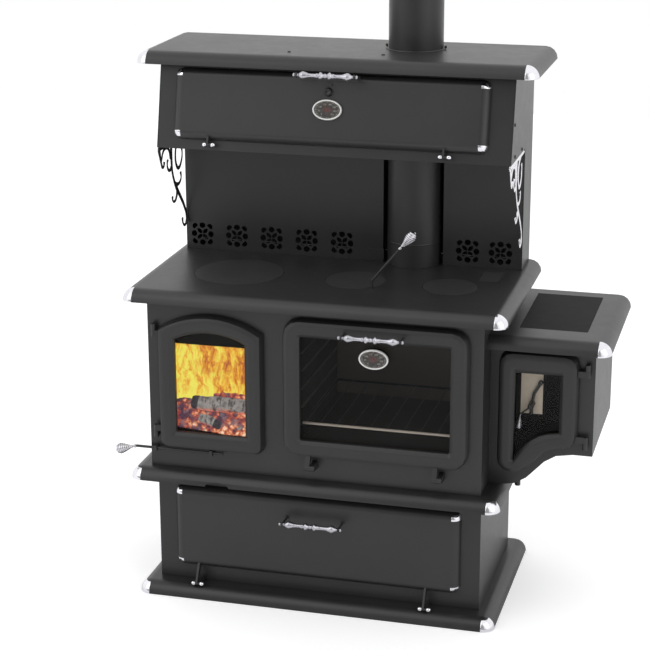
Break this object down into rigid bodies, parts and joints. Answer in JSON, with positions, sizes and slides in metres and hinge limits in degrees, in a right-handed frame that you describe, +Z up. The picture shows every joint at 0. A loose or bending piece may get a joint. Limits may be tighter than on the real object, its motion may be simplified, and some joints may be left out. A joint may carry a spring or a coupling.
{
  "type": "wood cookstove",
  "caption": "Black wood cookstove with glazed fire and oven doors, warming closet on scroll brackets, side water reservoir, storage base and nickel trim.",
  "frame": {"origin": "on the floor, on the stove's centre line, in the plane of the body's front", "axes": "+Z up, -Y out of the front towards the cook, +X to the right of someone who stands before the stove"},
  "size_m": [1.3708, 0.6328, 1.7],
  "materials": {
    "painted_sheet": "satin",
    "cast_black": "satin",
    "cooking_top": "satin",
    "nickel_plate": "gloss",
    "grey_iron": "matte",
    "firebrick": "matte",
    "oven_lining": "satin",
    "tank_steel": "satin",
    "door_glass": "gloss",
    "dial_face": "matte"
  },
  "bodies": {
    "stove": {"base_plinth": "painted_sheet", "base_cabinet": "painted_sheet", "mid_shelf": "painted_sheet", "body_front": "painted_sheet", "body_casing": "painted_sheet", "flue_pipe": "painted_sheet", "pipe_flange": "painted_sheet", "upper_casing": "painted_sheet", "backsplash_left": "painted_sheet", "backsplash_right": "painted_sheet", "small_plate": "painted_sheet", "closet_shell": "painted_sheet", "side_cabinet": "painted_sheet", "scroll_bracket_left": "cast_black", "tap_body": "cast_black", "cooktop": "cooking_top", "hob_plate_large": "cooking_top", "hob_plate_middle": "cooking_top", "hob_plate_right": "cooking_top", "cleanout_cover": "cooking_top", "top_shelf": "cooking_top", "side_top": "cooking_top", "cooktop_cap_left": "nickel_plate", "cooktop_cap_right": "nickel_plate", "top_shelf_cap_left": "nickel_plate", "top_shelf_cap_right": "nickel_plate", "side_top_cap": "nickel_plate", "scroll_bracket_right": "nickel_plate", "oven_rack": "nickel_plate", "firebox": "grey_iron", "fire_grate": "grey_iron", "ash_pan": "grey_iron", "smoke_baffle": "grey_iron", "flue_collar": "grey_iron", "firebrick_lining": "firebrick", "oven_box": "oven_lining", "water_tank": "tank_steel", "tap_plate": "tank_steel"},
    "fire_door": {"fire_door": "cast_black", "fire_door_glass": "door_glass"},
    "oven_door": {"oven_door": "cast_black", "oven_door_glass": "door_glass", "oven_door_handle": "nickel_plate", "oven_thermometer": "nickel_plate", "oven_dial": "dial_face"},
    "closet_door": {"closet_door": "painted_sheet", "closet_door_handle": "nickel_plate", "closet_thermometer": "nickel_plate", "closet_dial": "dial_face"},
    "storage_door": {"storage_door": "painted_sheet", "storage_door_handle": "nickel_plate"},
    "side_door": {"side_door": "cast_black", "side_door_glass": "door_glass"},
    "reservoir_lid": {"reservoir_lid": "cooking_top"},
    "air_control": {"air_rod": "cast_black", "air_handle": "nickel_plate"},
    "damper": {"damper_lever": "cast_black", "damper_handle": "nickel_plate"},
    "tap_handle": {"tap_lever": "cast_black", "tap_handle": "nickel_plate"}
  },
  "joints": [
    {"name": "fire_door_hinge", "type": "hinge", "parent": "stove", "child": "fire_door", "pos_m": [-0.448, -0.015, 0.65], "axis": [0, 0, -1], "range_deg": [0, 110]},
    {"name": "oven_door_hinge", "type": "hinge", "parent": "stove", "child": "oven_door", "pos_m": [0.1775, -0.034, 0.437], "axis": [1, 0, 0], "range_deg": [0, 90]},
    {"name": "closet_door_hinge", "type": "hinge", "parent": "stove", "child": "closet_door", "pos_m": [-0.007, 0.1739, 1.2771], "axis": [1, 0, 0], "range_deg": [0, 95]},
    {"name": "storage_door_hinge", "type": "hinge", "parent": "stove", "child": "storage_door", "pos_m": [0, -0.01, 0.041], "axis": [1, 0, 0], "range_deg": [0, 90]},
    {"name": "side_door_hinge", "type": "hinge", "parent": "stove", "child": "side_door", "pos_m": [0.734, 0.083, 0.64], "axis": [0, 0, 1], "range_deg": [0, 110]},
    {"name": "reservoir_lid_lift", "type": "slide", "parent": "stove", "child": "reservoir_lid", "axis": [0, 0, 1], "range_m": [0, 0.12]},
    {"name": "air_control_slide", "type": "slide", "parent": "stove", "child": "air_control", "axis": [-1, 0, 0], "range_m": [0, 0.03]},
    {"name": "damper_turn", "type": "hinge", "parent": "stove", "child": "damper", "pos_m": [0.13, 0.147, 0.909], "axis": [0, 0, 1], "range_deg": [0, 90]},
    {"name": "tap_turn", "type": "hinge", "parent": "stove", "child": "tap_handle", "pos_m": [0.578, 0.125, 0.612], "axis": [0, 1, 0], "range_deg": [0, 90]}
  ]
}
